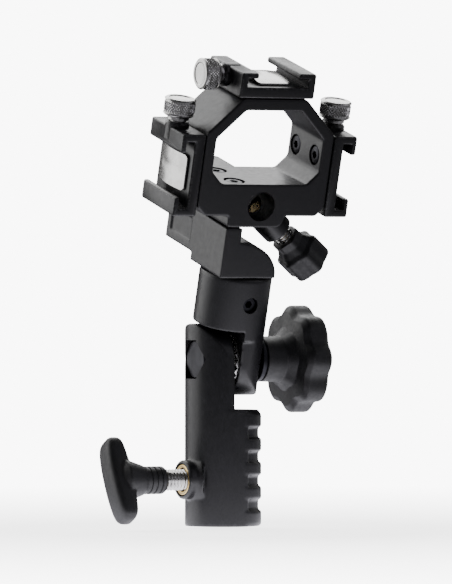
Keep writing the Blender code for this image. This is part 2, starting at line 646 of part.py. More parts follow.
def cold_shoe(name, place, turn, shift, pivot):
    """One shoe: its plate stands on z = 0, its channel runs along y, its screw points along +x."""
    seat = empty(name + "_seat", place, turn, pivot)
    half = SHOE_LENGTH / 2
    shoe = box("plate", (-SHOE_HALF, -half, CLEARANCE), (SHOE_HALF, half, SHOE_HEIGHT), edge=0.5)
    boss = rod("boss", 3.3, 8.0, 13.0, "X", (0.0, 0.0, THUMBSCREW_LEVEL), sides=24)
    join(shoe, boss)
    channel_top = SHOE_BASE + CHANNEL_HEIGHT
    cut(shoe,
        box("channel", (-CHANNEL_HALF, -20.0, SHOE_BASE), (CHANNEL_HALF, 20.0, channel_top)),
        box("lip_opening", (-LIP_OPENING_HALF, -20.0, 5.0), (LIP_OPENING_HALF, 20.0, 12.0)),
        rod("screw_hole", THUMBSCREW_RADIUS + CLEARANCE, 8.0, 20.0, "X",
            (0.0, 0.0, THUMBSCREW_LEVEL), sides=24))
    for along in (-SHOE_SCREW_OFFSET, SHOE_SCREW_OFFSET):
        cut(shoe, rod("fixing_hole", 1.8, -2.0, 2.9, "Z", (shift, along, 0.0), sides=SCREW_SIDES))
    finish(shoe, name, "black_paint", seat)

    floor = SHOE_BASE + CLEARANCE
    bow = 0.9
    under = [(7.5 * t, floor + bow * (1 - t * t)) for t in [step / 4 - 1 for step in range(9)]]
    over = [(along, up + 0.4) for along, up in reversed(under)]
    leaf = plate("leaf", [under + over], -5.0, 5.0, "X")
    finish(leaf, name + "_spring", "steel", seat)

    level = (0.0, 0.0, THUMBSCREW_LEVEL)
    pad = rod("pad", 1.9, 9.5, 10.5, "X", level, sides=SCREW_SIDES)
    finish(pad, name + "_pad", "nylon", seat)
    profile = [(0.0, 19.5), (4.0, 19.5), (4.4, 19.1), (4.4, 14.9), (4.0, 14.5), (3.0, 14.5),
               (3.0, 13.5), (THUMBSCREW_RADIUS, 13.5), (THUMBSCREW_RADIUS, 10.8), (0.0, 10.8)]
    finish(turned("thumbscrew", profile, "X", level, 20), name + "_thumbscrew", "steel", seat)

    for tag, along in zip(("front", "rear"), (-SHOE_SCREW_OFFSET, SHOE_SCREW_OFFSET)):
        centre = (shift, along, 0.0)
        face, under_head = SHOE_SCREW_HEAD_Z
        screw = join(rod("shank", 1.5, under_head - 1.0, 2.6, "Z", centre, sides=SCREW_SIDES),
                     rod("head", 2.6, face, under_head, "Z", centre, sides=SCREW_SIDES))
        cut(screw, rod("key_socket", 1.2, face - 1.0, face + 0.8, "Z", centre, sides=6))
        finish(screw, name + "_screw_" + tag, "black_steel", seat)


def main():
    lower_body()
    stand_lock(None)
    tilt_bolt_and_spring()
    tilt_knob(None)
    pivot = empty("head_pivot", (0.0, 0.0, TILT_HEIGHT), (TILT_ANGLE, 0.0, 0.0))
    tilt_head(pivot)
    neck(pivot)
    shoe_frame(pivot)
    umbrella_lock(pivot)
    for name, place, turn, shift in SHOES:
        cold_shoe(name, place, turn, shift, pivot)


main()
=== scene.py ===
"""Looks of the umbrella swivel bracket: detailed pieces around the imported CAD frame.

Shapes are written in millimetres in the local frame of what they sit on, and
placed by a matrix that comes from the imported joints. Each visible CAD node is
replaced by a finer piece that keeps inside the node's own box.
"""

import json
import math

import bmesh
import bpy
from mathutils import Matrix, Vector


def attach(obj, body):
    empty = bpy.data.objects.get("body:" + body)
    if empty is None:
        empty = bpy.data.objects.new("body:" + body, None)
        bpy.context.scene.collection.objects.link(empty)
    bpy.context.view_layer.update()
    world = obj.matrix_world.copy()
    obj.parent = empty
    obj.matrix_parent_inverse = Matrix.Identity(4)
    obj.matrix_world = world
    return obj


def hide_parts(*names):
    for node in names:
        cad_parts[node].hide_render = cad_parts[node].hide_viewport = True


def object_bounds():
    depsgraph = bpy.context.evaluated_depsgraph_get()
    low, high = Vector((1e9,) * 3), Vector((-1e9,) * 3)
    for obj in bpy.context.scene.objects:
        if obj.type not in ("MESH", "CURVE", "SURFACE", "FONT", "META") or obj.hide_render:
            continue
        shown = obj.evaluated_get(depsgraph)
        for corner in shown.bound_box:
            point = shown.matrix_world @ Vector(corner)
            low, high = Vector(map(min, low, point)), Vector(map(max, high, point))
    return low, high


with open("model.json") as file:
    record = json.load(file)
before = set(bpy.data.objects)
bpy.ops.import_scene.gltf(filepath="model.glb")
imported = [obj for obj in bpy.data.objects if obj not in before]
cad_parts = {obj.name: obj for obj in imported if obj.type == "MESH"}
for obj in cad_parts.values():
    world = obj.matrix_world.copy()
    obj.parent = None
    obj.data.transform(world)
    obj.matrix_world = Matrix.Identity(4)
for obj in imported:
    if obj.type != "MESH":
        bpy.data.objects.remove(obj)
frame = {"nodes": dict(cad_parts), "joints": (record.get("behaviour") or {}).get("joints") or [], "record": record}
cad_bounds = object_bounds()

MM = 0.001
JOINTS = {joint["name"]: joint for joint in frame["joints"]}
SHOES = ("top_shoe", "left_shoe", "right_shoe")

# Millimetres, as in the CAD model
M6_BORE, M5_BORE, M4_BORE, M3_BORE = 3.3, 2.8, 2.3, 1.8
SOCKET_TOP = 32.4
EAR_RADIUS = 10.0
HEAD_RADIUS = 10.2
HEAD_MIDDLE = 0.3
TOOTH_POCKET, SPRING_POCKET, WASHER_SEAT = 9.1, 5.2, 6.9
TEETH = 24
HANDLE_HALF = 12.7
NECK_LEFT, NECK_FOOT = -9.8, 26.3
NECK_SCREW_X, NECK_SCREW_Y = -7.3, (-5.5, 5.5)
SET_SCREW_PLACE = (0.8, 0.0, 18.5)
TENON_PLACE = (-0.5, 1.5, 0)
FRAME_HALF_DEPTH = 9.75
SLEEVE_REAR = 25.4
HUB_BOTTOM = 40.9
UMBRELLA_CENTRE = (0.0, 0.0, 46.9)
SHOE_SCREW_LEVEL = 4.25

# Degrees
HANDLE_TURN = -27.0
UMBRELLA_LOCK_TURN = 39.0

# How square the T handle's bar is in section: 1 is round, and smaller is squarer
BAR_SQUARENESS = 0.5

# The studio, in metres, watts and degrees
FLOOR_GAP = 0.0006
FLOOR_RADIUS = 0.55
WHITE = (1.0, 1.0, 1.0)
ROOM_WHITE = 9.0
ROOM_REFLECTED = 0.07
CAMERA_AZIMUTH, CAMERA_ELEVATION, CAMERA_DISTANCE, CAMERA_LENS = -28.0, 0.0, 1.7, 378.0
# name: direction from the object, distance, width and height, power, colour
LIGHTS = {
    "key_left": ((-0.74, 0.66, 0.25), 0.9, (0.9, 1.3), 9.0, WHITE),
    "edge_right": ((0.95, 0.35, 0.3), 0.9, (0.5, 0.9), 0.45, WHITE),
    "top": ((0.2, 0.7, 0.8), 1.0, (1.0, 0.8), 9.5, WHITE),
    "front_fill": ((0.35, -1.0, 0.45), 1.3, (0.5, 0.5), 0.55, (0.88, 0.86, 1.0)),
    "side_right": ((0.8, -0.45, 0.55), 1.1, (0.8, 0.8), 1.0, (0.93, 0.92, 1.0)),
}


# --- local frames

def frame_from(origin, x_axis, z_axis):
    """A local frame at origin whose x and z run along two perpendicular directions."""
    x = Vector(x_axis).normalized()
    z = Vector(z_axis).normalized()
    y = z.cross(x)
    turn = Matrix((x, y, z)).transposed().to_4x4()
    return Matrix.Translation(Vector(origin)) @ turn


def moved(x, y, z):
    """A move in millimetres."""
    return Matrix.Translation(Vector((x, y, z)) * MM)


WORLD = Matrix.Identity(4)
UPRIGHT = Matrix.Rotation(-math.pi / 2, 4, "Y")
TILT_CENTRE = Vector(JOINTS["head_tilt"]["pos_m"])
HEAD_UP = Vector(JOINTS["left_shoe_thumbscrew_turn"]["axis"])
TILT = Matrix.Translation(TILT_CENTRE)
HEAD = frame_from(TILT_CENTRE, (1, 0, 0), HEAD_UP)
HEAD_BACK = HEAD.to_3x3() @ Vector((0, 1, 0))
STAND_LOCK = Matrix.Translation(Vector(JOINTS["stand_lock_turn"]["pos_m"]) * Vector((0, 1, 1)))
LOCK_AXIS = Vector(JOINTS["umbrella_lock_turn"]["axis"])
UMBRELLA_LOCK = frame_from(JOINTS["umbrella_lock_turn"]["pos_m"], LOCK_AXIS,
                           HEAD_BACK.cross(LOCK_AXIS))


def along(direction, centre=(0.0, 0.0, 0.0)):
    """A frame at a place in another frame, whose x runs along a direction there."""
    aim = Vector(direction).to_track_quat("X", "Z").to_matrix().to_4x4()
    return moved(*centre) @ aim


def span(node, local):
    """Lowest and highest corners of a CAD node in a local frame, in millimetres."""
    inverse = local.inverted()
    points = [inverse @ vertex.co / MM for vertex in frame["nodes"][node].data.vertices]
    low = Vector(min(point[axis] for point in points) for axis in range(3))
    high = Vector(max(point[axis] for point in points) for axis in range(3))
    return low, high


def shoe_frame_of(shoe):
    """The frame of one shoe: x towards its thumbscrew, z away from the octagonal frame."""
    axis = Vector(JOINTS[shoe + "_thumbscrew_turn"]["axis"])
    outward = {"top_shoe": HEAD_UP, "left_shoe": (-1, 0, 0), "right_shoe": (1, 0, 0)}[shoe]
    turned = frame_from((0, 0, 0), axis, outward)
    # The shoe's plate is symmetric along y, and its leaf spring lies at the middle of its width
    low, high = span(shoe, turned)
    spring_low, spring_high = span(shoe + "_spring", turned)
    origin = Vector(((spring_low.x + spring_high.x) / 2, (low.y + high.y) / 2, low.z)) * MM
    return Matrix.Translation(turned.to_3x3() @ origin) @ turned


SHOE_FRAMES = {shoe: shoe_frame_of(shoe) for shoe in SHOES}


def inward_at(shoe, tag):
    """The frame of one of a shoe's fixing screws, whose x runs into the octagonal frame."""
    low, high = span(shoe + "_screw_" + tag, SHOE_FRAMES[shoe])
    centre = ((low.x + high.x) / 2, (low.y + high.y) / 2, 0.0)
    return SHOE_FRAMES[shoe] @ along((0, 0, -1), centre)


# --- shapes

def add_object(name, data):
    obj = bpy.data.objects.new(name, data)
    bpy.context.scene.collection.objects.link(obj)
    return obj


def new_object(name, shape, smooth_angle=32.0):
    """An object from a bmesh in millimetres, shaded smooth but for the edges above an angle."""
    mesh = bpy.data.meshes.new(name)
    shape.to_mesh(mesh)
    shape.free()
    mesh.transform(Matrix.Scale(MM, 4))
    return sharpened(add_object(name, mesh), smooth_angle)


def sharpened(obj, smooth_angle):
    obj.data.shade_smooth()
    obj.data.set_sharp_from_angle(angle=math.radians(smooth_angle))
    return obj


def bridge(shape, first, second):
    """Faces between two rings that have as many vertices."""
    for index in range(len(first)):
        after = (index + 1) % len(first)
        shape.faces.new((first[index], first[after], second[after], second[index]))


def skin(name, rings, smooth_angle=32.0, loop=False):
    """A closed surface through rings of points, capped at its ends or looped back on itself."""
    shape = bmesh.new()
    rows = [[shape.verts.new(point) for point in ring] for ring in rings]
    pairs = list(zip(rows, rows[1:]))
    if loop:
        pairs.append((rows[-1], rows[0]))
    for first, second in pairs:
        bridge(shape, first, second)
    if not loop:
        shape.faces.new(rows[0][::-1])
        shape.faces.new(rows[-1])
    bmesh.ops.recalc_face_normals(shape, faces=shape.faces)
    return new_object(name, shape, smooth_angle)


def at(value, angle):
    """A number, or what a function of the angle gives."""
    return value(angle) if callable(value) else value


def ring_points(radius, height, sides):
    """Points round the x axis. The radius and the height may depend on the angle."""
    points = []
    for side in range(sides):
        angle = 2 * math.pi * side / sides
        reach = at(radius, angle)
        points.append((at(height, angle), reach * math.cos(angle), reach * math.sin(angle)))
    return points


def rounded(corners, steps=4, closed=True):
    """Points of a path through (a, b, radius) corners, each rounded by its radius."""
    points = []
    count = len(corners)
    for index, (a, b, radius) in enumerate(corners):
        at_end = not closed and index in (0, count - 1)
        if radius <= 0 or at_end:
            points.append((a, b))
            continue
        corner = Vector((a, b))
        before = Vector(corners[index - 1][:2]) - corner
        after = Vector(corners[(index + 1) % count][:2]) - corner
        half = before.angle(after) / 2
        reach = radius / math.tan(half)
        middle = (before.normalized() + after.normalized()).normalized()
        centre = corner + middle * radius / math.sin(half)
        first = corner + before.normalized() * reach - centre
        last = corner + after.normalized() * reach - centre
        turned = first.angle_signed(last)
        start = math.atan2(first.y, first.x)
        for step in range(steps + 1):
            angle = start - turned * step / steps
            points.append((centre.x + radius * math.cos(angle),
                           centre.y + radius * math.sin(angle)))
    return points


def arc(centre, radii, start, end, steps):
    """Points on an ellipse from one angle to another, in degrees."""
    points = []
    for step in range(steps + 1):
        angle = math.radians(start + (end - start) * step / steps)
        points.append((centre[0] + radii[0] * math.cos(angle),
                       centre[1] + radii[1] * math.sin(angle)))
    return points


def lathe(name, corners, sides=72, steps=3):
    """A solid turned round the x axis from (x, radius, rounding) corners, with flat ends."""
    path = rounded(corners, steps, closed=False)
    return skin(name, [ring_points(radius, x, sides) for x, radius in path])


def tube(name, corners, sides=72):
    """A ring turned round the x axis from a closed (x, radius, rounding) section."""
    path = rounded(corners, 3)
    return skin(name, [ring_points(radius, x, sides) for x, radius in path], loop=True)


def bush(name, low, high, bore, edges, sides=72):
    """A plain ring that fills a node's box, with the edges of its bore and its rim broken."""
    inner, outer = edges
    section = [(low.x, bore, inner), (high.x, bore, inner),
               (high.x, high.y, outer), (low.x, high.y, outer)]
    return tube(name, section, sides)


def prism(name, outline, low, high, axis="y"):
    """A flat outline thickened from low to high: (x, z) along y, (y, z) along x, (x, y) along z."""
    order = {"x": (2, 0, 1), "y": (0, 2, 1), "z": (0, 1, 2)}[axis]
    shape = bmesh.new()
    ends = []
    for level in (low, high):
        points = [(a, b, level) for a, b in outline]
        ends.append([shape.verts.new([point[part] for part in order]) for point in points])
    bridge(shape, *ends)
    shape.faces.new(ends[0][::-1])
    shape.faces.new(ends[1])
    bmesh.ops.recalc_face_normals(shape, faces=shape.faces)
    return new_object(name, shape)


def box(name, low, high):
    """A block between two corners."""
    outline = [(low[0], low[2]), (high[0], low[2]), (high[0], high[2]), (low[0], high[2])]
    return prism(name, outline, low[1], high[1])


def rod(name, radius, low, high, axis="x", centre=(0, 0, 0), sides=48, turn=None):
    """A plain round bar, mostly a cutter."""
    obj = lathe(name, [(low, radius, 0), (high, radius, 0)], sides)
    lay = {"x": WORLD, "y": Matrix.Rotation(math.pi / 2, 4, "Z"), "z": UPRIGHT}[axis]
    obj.data.transform(moved(*centre) @ (turn if turn else lay))
    return obj


def frame_outline(half, low, high, low_chamfer, high_chamfer, rounding):
    """An eight-sided outline in (x, z), symmetric about x = 0, with softened corners."""
    right = [(half - low_chamfer, low), (half, low + low_chamfer),
             (half, high - high_chamfer), (half - high_chamfer, high)]
    corners = right + [(-x, z) for x, z in reversed(right)]
    return rounded([(x, z, rounding) for x, z in corners], 3)


def boolean(obj, others, operation, solver="EXACT"):
    """Union, difference or intersection with other solids, to be applied by bake."""
    for other in others:
        modifier = obj.modifiers.new(operation.lower(), "BOOLEAN")
        modifier.operation = operation
        modifier.solver = solver
        modifier.object = other
    return obj


def bake(obj, helpers=()):
    """Apply an object's modifiers, then remove the helper objects that they used."""
    depsgraph = bpy.context.evaluated_depsgraph_get()
    mesh = bpy.data.meshes.new_from_object(obj.evaluated_get(depsgraph))
    old = obj.data
    obj.modifiers.clear()
    obj.data = mesh
    bpy.data.meshes.remove(old)
    for helper in helpers:
        bpy.data.objects.remove(helper, do_unlink=True)
    return obj


def trimmed(obj, other, operation="DIFFERENCE"):
    """A solid less another, or the part that both share."""
    return bake(boolean(obj, [other], operation), [other])


def broken_edges(obj, edge):
    """Round a solid's edges with a fine bevel, as on bent or milled metal."""
    bevel = obj.modifiers.new("edge", "BEVEL")
    bevel.width = edge * MM
    bevel.segments = 3
    bevel.limit_method = "ANGLE"
    bevel.angle_limit = math.radians(38.0)
    return sharpened(bake(obj), 35.0)


def machined(first, add=(), cut=(), smooth_angle=35.0):
    """Join and cut solids whose edges are already broken, and leave the cuts crisp."""
    boolean(first, add, "UNION")
    boolean(first, cut, "DIFFERENCE")
    return sharpened(bake(first, [*add, *cut]), smooth_angle)


def cast(first, add, cut=(), grain=0.3, soften=5, keep=0.42):
    """Join and cut solids, then round every edge and inner corner, as on a casting."""
    boolean(first, add, "UNION")
    boolean(first, cut, "DIFFERENCE")
    bake(first, [*add, *cut])
    remesh = first.modifiers.new("voxels", "REMESH")
    remesh.mode = "VOXEL"
    remesh.voxel_size = grain * MM
    smooth = first.modifiers.new("soften", "SMOOTH")
    smooth.factor = 0.5
    smooth.iterations = soften
    thin = first.modifiers.new("thin", "DECIMATE")
    thin.ratio = keep
    bake(first)
    first.data.shade_smooth()
    return first


def machine(obj, cutters):
    """Drill finished holes in a casting, so that their rims stay crisp."""
    boolean(obj, cutters, "DIFFERENCE", "MANIFOLD")
    return sharpened(bake(obj, cutters), 50.0)


def sweep(name, path, radius, sides):
    """A round wire along a path of points."""
    points = [Vector(point) for point in path]
    rings = []
    side = None
    for index, point in enumerate(points):
        ahead = points[min(index + 1, len(points) - 1)] - points[max(index - 1, 0)]
        ahead.normalize()
        side = ahead.orthogonal() if side is None else side - ahead * side.dot(ahead)
        side.normalize()
        up = ahead.cross(side)
        ring = []
        for step in range(sides):
            angle = 2 * math.pi * step / sides
            ring.append(point + (side * math.cos(angle) + up * math.sin(angle)) * radius)
        rings.append(ring)
    return skin(name, rings)


def saw(value):
    """A triangle wave between 0 and 1 with a period of 1."""
    part = value % 1.0
    return 2 * part if part < 0.5 else 2 - 2 * part


def threaded(name, start, end, radius, pitch, depth, sides=48, plain=0.0):
    """A screw along x. Its thread fades into a plain shank before the last part of its length."""
    per_turn = 10
    rows = int((end - start) / pitch * per_turn)
    rings = []
    for row in range(rows + 1):
        x = start + (end - start) * row / rows
        tip = min(1.0, (x - start) / pitch)
        fade = 0.0 if x > end - plain else min(1.0, (end - plain - x) / pitch)

        def radius_at(angle, x=x, tip=tip, fade=fade):
            groove = min(1.0, 1.35 * saw(x / pitch - angle / (2 * math.pi)))
            return min(radius - depth * groove * fade, radius - depth * 1.1 * (1 - tip))

        rings.append(ring_points(radius_at, x, sides))
    return skin(name, rings, smooth_angle=60.0)


def knurled(name, corners, grip, ridges, depth):
    """A turned head whose largest radius, between the two grip heights, is diamond knurled."""
    sides_per_ridge, rows = 8, 30
    path = rounded(corners, 3, closed=False)
    low, high = grip
    largest = max(radius for _, radius in path)
    before = [(x, radius) for x, radius in path if x < low]
    after = [(x, radius) for x, radius in path if x > high]
    sides = ridges * sides_per_ridge
    lead = (high - low) / 4
    rings = [ring_points(radius, x, sides) for x, radius in before]
    for row in range(rows + 1):
        x = low + (high - low) * row / rows
        edge = min(1.0, 5 * min(row, rows - row) / rows)

        def radius_at(angle, x=x, edge=edge):
            turn = angle * ridges / (2 * math.pi)
            height = min(saw(turn + x / lead), saw(turn - x / lead))
            return largest - depth * (1 - height * edge)

        rings.append(ring_points(radius_at, x, sides))
    rings += [ring_points(radius, x, sides) for x, radius in after]
    return skin(name, rings, smooth_angle=40.0)


# --- materials

def add_node(tree, kind, values=(), links=(), **settings):
    """A shader node with its settings, then its (socket, value) and (socket, source) pairs."""
    node = tree.nodes.new("ShaderNode" + kind)
    for setting, value in settings.items():
        setattr(node, setting, value)
    for socket, value in values:
        node.inputs[socket].default_value = value
    for socket, source in links:
        tree.links.new(source, node.inputs[socket])
    return node


def node_material(name, *values):
    """A material with only a shader, some of its values set, and its output."""
    material = bpy.data.materials.new(name)
    material.use_nodes = True
    tree = material.node_tree
    tree.nodes.clear()
    shader = add_node(tree, "BsdfPrincipled", values)
    add_node(tree, "OutputMaterial", (), [("Surface", shader.outputs["BSDF"])])
    return material, tree, shader


def local_coordinates(tree, stretch=(1.0, 1.0, 1.0)):
    """Millimetres in the piece's own frame, stored on its mesh, scaled along each axis."""
    stored = add_node(tree, "Attribute", attribute_name="local").outputs["Vector"]
    scaled = add_node(tree, "VectorMath", [(1, stretch)], [(0, stored)], operation="MULTIPLY")
    return scaled.outputs["Vector"]


def noise(tree, coordinates, scale, detail=2.0, roughness=0.5):
    values = [("Scale", scale), ("Detail", detail), ("Roughness", roughness)]
    return add_node(tree, "TexNoise", values, [("Vector", coordinates)]).outputs["Fac"]


def remap(tree, value, low, high, to_low=0.0, to_high=1.0):
    values = [("From Min", low), ("From Max", high), ("To Min", to_low), ("To Max", to_high)]
    return add_node(tree, "MapRange", values, [("Value", value)]).outputs["Result"]


def blend_colours(tree, factor, first, second):
    """From the first colour to the second, which may each be a colour or a node's output."""
    node = add_node(tree, "Mix", (), [(0, factor)], data_type="RGBA")
    for socket, colour in ((node.inputs[6], first), (node.inputs[7], second)):
        if isinstance(colour, tuple):
            socket.default_value = (*colour, 1.0)
        else:
            tree.links.new(colour, socket)
    return node.outputs[2]


def combine(tree, operation, first, second):
    """Two values by a mathematical operation. The second may be a number."""
    node = add_node(tree, "Math", (), [(0, first)], operation=operation)
    if isinstance(second, float):
        node.inputs[1].default_value = second
    else:
        tree.links.new(second, node.inputs[1])
    return node.outputs[0]


def bump(tree, shader, layers):
    """Stack (height, strength, depth in mm) layers into the shader's normal."""
    links = []
    for height, strength, depth in layers:
        values = [("Strength", strength), ("Distance", depth * MM)]
        node = add_node(tree, "Bump", values, [("Height", height), *links])
        links = [("Normal", node.outputs["Normal"])]
    tree.links.new(node.outputs["Normal"], shader.inputs["Normal"])


def worn_edges(tree, coordinates, sharpness=None):
    """How much an edge is rubbed bare. Without limits of sharpness, marked faces are edges."""
    if sharpness:
        bend = add_node(tree, "NewGeometry").outputs["Pointiness"]
        ridge = remap(tree, bend, *sharpness)
    else:
        ridge = add_node(tree, "Attribute", attribute_name="edge").outputs["Fac"]
    patches = remap(tree, noise(tree, coordinates, 0.9, 4.0, 0.6), 0.48, 0.66)
    return combine(tree, "MULTIPLY", ridge, patches)


def black_paint(name, dark, light, gloss, sharpness=None):
    """Satin black paint with a fine orange-peel skin, rubbed to grey on its outer edges."""
    material, tree, shader = node_material(name, ("Coat Weight", 0.12), ("Coat Roughness", 0.28))
    place = local_coordinates(tree)
    cloud = remap(tree, noise(tree, place, 0.12, 3.0), 0.3, 0.7)
    wear = worn_edges(tree, place, sharpness)
    paint = blend_colours(tree, cloud, dark, light)
    colour = blend_colours(tree, combine(tree, "MULTIPLY", wear, 0.55), paint, (0.16, 0.16, 0.165))
    tree.links.new(colour, shader.inputs["Base Color"])
    sheen = remap(tree, noise(tree, place, 0.7, 4.0, 0.6), 0.3, 0.7, gloss - 0.045, gloss + 0.06)
    tree.links.new(combine(tree, "SUBTRACT", sheen, combine(tree, "MULTIPLY", wear, 0.1)),
                   shader.inputs["Roughness"])
    bump(tree, shader, [(noise(tree, place, 1.5, 2.0), 0.28, 0.06),
                        (noise(tree, place, 6.0, 3.0), 0.22, 0.03)])
    return material


def black_plastic(name):
    """Moulded black nylon with a spark-eroded grain."""
    material, tree, shader = node_material(name)
    place = local_coordinates(tree)
    cloud = remap(tree, noise(tree, place, 0.25, 3.0), 0.35, 0.65)
    wear = worn_edges(tree, place, (0.53, 0.62))
    plastic = blend_colours(tree, cloud, (0.0085, 0.0083, 0.0098), (0.0130, 0.0126, 0.0146))
    colour = blend_colours(tree, combine(tree, "MULTIPLY", wear, 0.5), plastic, (0.05, 0.05, 0.054))
    tree.links.new(colour, shader.inputs["Base Color"])
    sheen = remap(tree, noise(tree, place, 1.1, 4.0), 0.3, 0.7, 0.42, 0.56)
    tree.links.new(sheen, shader.inputs["Roughness"])
    bump(tree, shader, [(noise(tree, place, 5.5, 3.0, 0.65), 0.45, 0.045),
                        (noise(tree, place, 0.5, 1.0), 0.1, 0.08)])
    return material


def turned_metal(name, dark, light, gloss):
    """Plated or bare metal with fine lathe marks round the piece's x axis and faint stains."""
    material, tree, shader = node_material(name, ("Metallic", 1.0))
    lathe_marks = noise(tree, local_coordinates(tree, (9.0, 0.2, 0.2)), 1.0, 3.0, 0.6)
    place = local_coordinates(tree)
    stain = remap(tree, noise(tree, place, 0.22, 3.0, 0.5), 0.45, 0.8)
    tree.links.new(blend_colours(tree, stain, light, dark), shader.inputs["Base Color"])
    marks = remap(tree, lathe_marks, 0.3, 0.7, gloss - 0.03, gloss + 0.04)
    tree.links.new(combine(tree, "ADD", marks, combine(tree, "MULTIPLY", stain, 0.06)),
                   shader.inputs["Roughness"])
    bump(tree, shader, [(lathe_marks, 0.05, 0.006)])
    return material


def white_nylon(name):
    """Natural nylon, a little translucent, with faint mottling."""
    material, tree, shader = node_material(
        name, ("Roughness", 0.5), ("Subsurface Weight", 0.15), ("Subsurface Scale", 0.5 * MM))
    place = local_coordinates(tree)
    mottling = noise(tree, place, 0.6, 3.0)
    colour = blend_colours(tree, mottling, (0.72, 0.69, 0.61), (0.82, 0.80, 0.74))
    tree.links.new(colour, shader.inputs["Base Color"])
    bump(tree, shader, [(noise(tree, place, 4.0, 2.0), 0.2, 0.03)])
    return material


LOOKS = {
    "casting": black_paint("black_cast_paint", (0.0042, 0.0039, 0.0060), (0.0068, 0.0064, 0.0092),
                           0.40, (0.535, 0.60)),
    "shoe_metal": black_paint("black_shoe_paint", (0.0036, 0.0034, 0.0052),
                              (0.0056, 0.0053, 0.0075), 0.36),
    "plastic": black_plastic("black_moulding"),
    "steel": turned_metal("nickel_plated_steel", (0.42, 0.415, 0.405), (0.58, 0.575, 0.565), 0.24),
    "black_steel": turned_metal("black_oxide_steel", (0.018, 0.018, 0.021),
                                (0.032, 0.032, 0.037), 0.36),
    "brass": turned_metal("turned_brass", (0.46, 0.32, 0.13), (0.74, 0.56, 0.26), 0.27),
    "nylon": white_nylon("natural_nylon"),
}
BODY_OF = {node: body for body, nodes in frame["record"]["behaviour"]["bodies"].items()
           for node in nodes}


def store_local(mesh):
    """Keep each vertex's place in its own frame, in millimetres."""
    attribute = mesh.attributes.new("local", "FLOAT_VECTOR", "POINT")
    for vertex, value in zip(mesh.vertices, attribute.data):
        value.vector = vertex.co / MM


def store_edges(mesh):
    """Mark the narrow faces of broken edges, which face along no axis of the piece."""
    attribute = mesh.attributes.new("edge", "FLOAT", "FACE")
    for face, value in zip(mesh.polygons, attribute.data):
        value.value = 1.0 if max(abs(part) for part in face.normal) < 0.985 else 0.0


def piece(obj, local, slot, *nodes):
    """Put a finished shape where its CAD node is, and let it stand for that node."""
    store_local(obj.data)
    store_edges(obj.data)
    obj.data.transform(local)
    obj.data.materials.clear()
    obj.data.materials.append(LOOKS[slot])
    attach(obj, BODY_OF[nodes[0]])
    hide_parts(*nodes)


# --- stand socket side

def lower_body_casting():
    """The socket, half smooth and half ribbed, with the lower ear of the tilt joint."""
    low, _ = span("lower_body", WORLD)
    tilt = TILT_CENTRE.z / MM
    smooth, core, rib, foot, crest = 10.6, 9.85, 10.7, 1.95, 1.65
    ribs = []
    for index in range(5):
        middle = 2.6 + 6.7 * index
        ribs += [(max(middle - foot, 0.0), core, 0.4 if index else 0),
                 (max(middle - crest, 0.0), rib, 0.5),
                 (middle + crest, rib, 0.5), (middle + foot, core, 0.4)]
    ribs[0] = (0.0, rib - 0.6, 0)
    ribs[1] = (0.6, rib, 0.4)
    ribs[-1] = (SOCKET_TOP, core, 0)
    ribbed = lathe("ribbed_side", ribs, 120)
    ribbed.data.transform(UPRIGHT)
    core_rod = rod("smooth_side", smooth, 0.0, SOCKET_TOP, "z", sides=120)
    core_rod = trimmed(core_rod, box("smooth_trim", (2.6, -20, -5), (20, 20, 40)))
    ribbed = trimmed(ribbed, box("rib_trim", (-20, -20, -5), (1.6, 20, 40)))
    spine = rod("lower_body_casting", core, 0.0, SOCKET_TOP, "z", sides=120)
    ear_outline = [(-EAR_RADIUS, 26.0), (EAR_RADIUS, 26.0)]
    ear_outline += arc((0.0, tilt), (EAR_RADIUS, EAR_RADIUS), 0, 180, 40)
    ear = prism("ear", ear_outline, -12.0, -1.5, "x")
    ear = trimmed(ear, rod("flush", smooth, 20.0, 60.0, "z", sides=120), "INTERSECT")
    boss = lathe("boss", [(-13.0, 5.0, 0), (-12.6, 5.5, 0.3), (-10.6, 5.5, 0.3), (-9.4, 7.2, 0)])
    boss.data.transform(STAND_LOCK)
    cores = [rod("core", 7.2, -1, 24, "z", sides=90),
             rod("bolt_core", 2.6, -15, 2, centre=(0, 0, tilt), sides=64)]
    body = cast(spine, [core_rod, ribbed, ear, boss], cores)
    at_bolt = (0.0, 0.0, tilt)
    at_lock = tuple(STAND_LOCK.translation / MM)
    mouth = lathe("mouth", [(-1.0, 10.1, 0), (0.9, 8.1, 0), (26.0, 8.1, 0)], 96)
    mouth.data.transform(UPRIGHT)
    return machine(body, [
        mouth,
        rod("hex_pocket", 6.2, -12, -6.0, centre=at_bolt, sides=6),
        rod("pad_hole", M6_BORE, -12.2, -7, centre=at_lock),
        rod("insert_hole", 4.6, -14, -10.4, centre=at_lock),
        rod("bolt_hole", M6_BORE, -7, 2, centre=at_bolt),
        rod("tooth_pocket", TOOTH_POCKET, -3.5, 2, centre=at_bolt, sides=96),
        rod("spring_pocket", SPRING_POCKET, -4.6, -3, centre=at_bolt, sides=72),
        box("floor_trim", (-20, -20, -5), (20, 20, low.z))])


def bar_section(up):
    """One slice of the T handle's bar: a rounded oblong that narrows towards blunt tips."""
    reach = abs(up) / HANDLE_HALF
    tip = (1 - reach ** 12) ** 0.42
    outer = -36.0 + 1.3 * reach ** 2.4
    inner = -29.0 - 1.2 * reach ** 1.6
    middle, thick = (outer + inner) / 2, (inner - outer) / 2
    wide = 4.0 - 0.25 * reach ** 2
    ring = []
    for step in range(64):
        angle = 2 * math.pi * step / 64
        across, over = math.cos(angle), math.sin(angle)
        x = middle + thick * tip * math.copysign(abs(across) ** BAR_SQUARENESS, across)
        y = wide * tip * math.copysign(abs(over) ** BAR_SQUARENESS, over)
        ring.append((x, y, up))
    return ring


